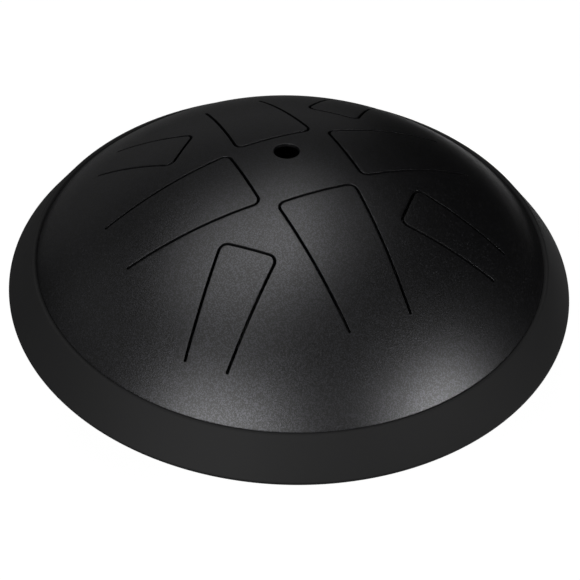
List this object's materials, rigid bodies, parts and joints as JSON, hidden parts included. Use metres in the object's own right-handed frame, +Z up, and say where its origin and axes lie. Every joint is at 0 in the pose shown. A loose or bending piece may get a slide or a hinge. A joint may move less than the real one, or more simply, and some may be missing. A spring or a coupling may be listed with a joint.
{
  "type": "steel tongue drum",
  "caption": "Domed steel drum with tongues cut into its crown, a wide rubber ring over the seam, a ported base and rubber feet.",
  "frame": {"origin": "under the middle of the drum, on the plane of its feet", "axes": "+Z up; the lowest note's tongue points towards -Y, and the vent hole lies off the middle towards +Y"},
  "size_m": [0.343, 0.343, 0.1494],
  "materials": {
    "powder_coat": "satin black powder coat with a fine grain, on pressed steel",
    "rim_rubber": "matt black moulded rubber",
    "gasket": "bonded sheet gasket",
    "foot_rubber": "matt black moulded rubber",
    "zinc_steel": "bright zinc plated"
  },
  "bodies": {
    "drum_body": {"top_shell": "powder_coat", "rim_ring": "rim_rubber", "seam_gasket": "gasket", "bottom_shell": "powder_coat", "foot_1": "foot_rubber", "foot_2": "foot_rubber", "foot_3": "foot_rubber", "foot_4": "foot_rubber", "foot_screws": "zinc_steel", "recess_washers": "zinc_steel", "nut_washers": "zinc_steel", "foot_nuts": "zinc_steel"},
    "tongue_1": {"tongue_1": "powder_coat"},
    "tongue_2": {"tongue_2": "powder_coat"},
    "tongue_3": {"tongue_3": "powder_coat"},
    "tongue_4": {"tongue_4": "powder_coat"},
    "tongue_5": {"tongue_5": "powder_coat"},
    "tongue_6": {"tongue_6": "powder_coat"},
    "tongue_7": {"tongue_7": "powder_coat"},
    "tongue_8": {"tongue_8": "powder_coat"}
  },
  "joints": [
    {"name": "tongue_1_flex", "type": "hinge", "parent": "drum_body", "child": "tongue_1", "pos_m": [0, -0.11088, 0.11844], "axis": [1, 0, 0], "range_deg": [-0.4, 0.4], "stiffness_Nm_per_rad": 392.4},
    {"name": "tongue_2_flex", "type": "hinge", "parent": "drum_body", "child": "tongue_2", "pos_m": [-0.10935, 0, 0.11933], "axis": [0, -1, 0], "range_deg": [-0.4, 0.4], "stiffness_Nm_per_rad": 421},
    {"name": "tongue_3_flex", "type": "hinge", "parent": "drum_body", "child": "tongue_3", "pos_m": [0.10812, 0, 0.12002], "axis": [0, 1, 0], "range_deg": [-0.4, 0.4], "stiffness_Nm_per_rad": 478.7},
    {"name": "tongue_4_flex", "type": "hinge", "parent": "drum_body", "child": "tongue_4", "pos_m": [0, 0.09041, 0.12896], "axis": [-1, 0, 0], "range_deg": [-0.4, 0.4], "stiffness_Nm_per_rad": 376.1},
    {"name": "tongue_5_flex", "type": "hinge", "parent": "drum_body", "child": "tongue_5", "pos_m": [-0.09294, -0.09294, 0.10489], "axis": [0.7071, -0.7071, 0], "range_deg": [-0.4, 0.4], "stiffness_Nm_per_rad": 367.7},
    {"name": "tongue_6_flex", "type": "hinge", "parent": "drum_body", "child": "tongue_6", "pos_m": [0.08917, -0.08917, 0.10873], "axis": [0.7071, 0.7071, 0], "range_deg": [-0.4, 0.4], "stiffness_Nm_per_rad": 389.4},
    {"name": "tongue_7_flex", "type": "hinge", "parent": "drum_body", "child": "tongue_7", "pos_m": [0.08704, 0.08704, 0.1108], "axis": [-0.7071, 0.7071, 0], "range_deg": [-0.4, 0.4], "stiffness_Nm_per_rad": 410.5},
    {"name": "tongue_8_flex", "type": "hinge", "parent": "drum_body", "child": "tongue_8", "pos_m": [-0.08576, 0.08576, 0.112], "axis": [-0.7071, -0.7071, 0], "range_deg": [-0.4, 0.4], "stiffness_Nm_per_rad": 451.9}
  ]
}
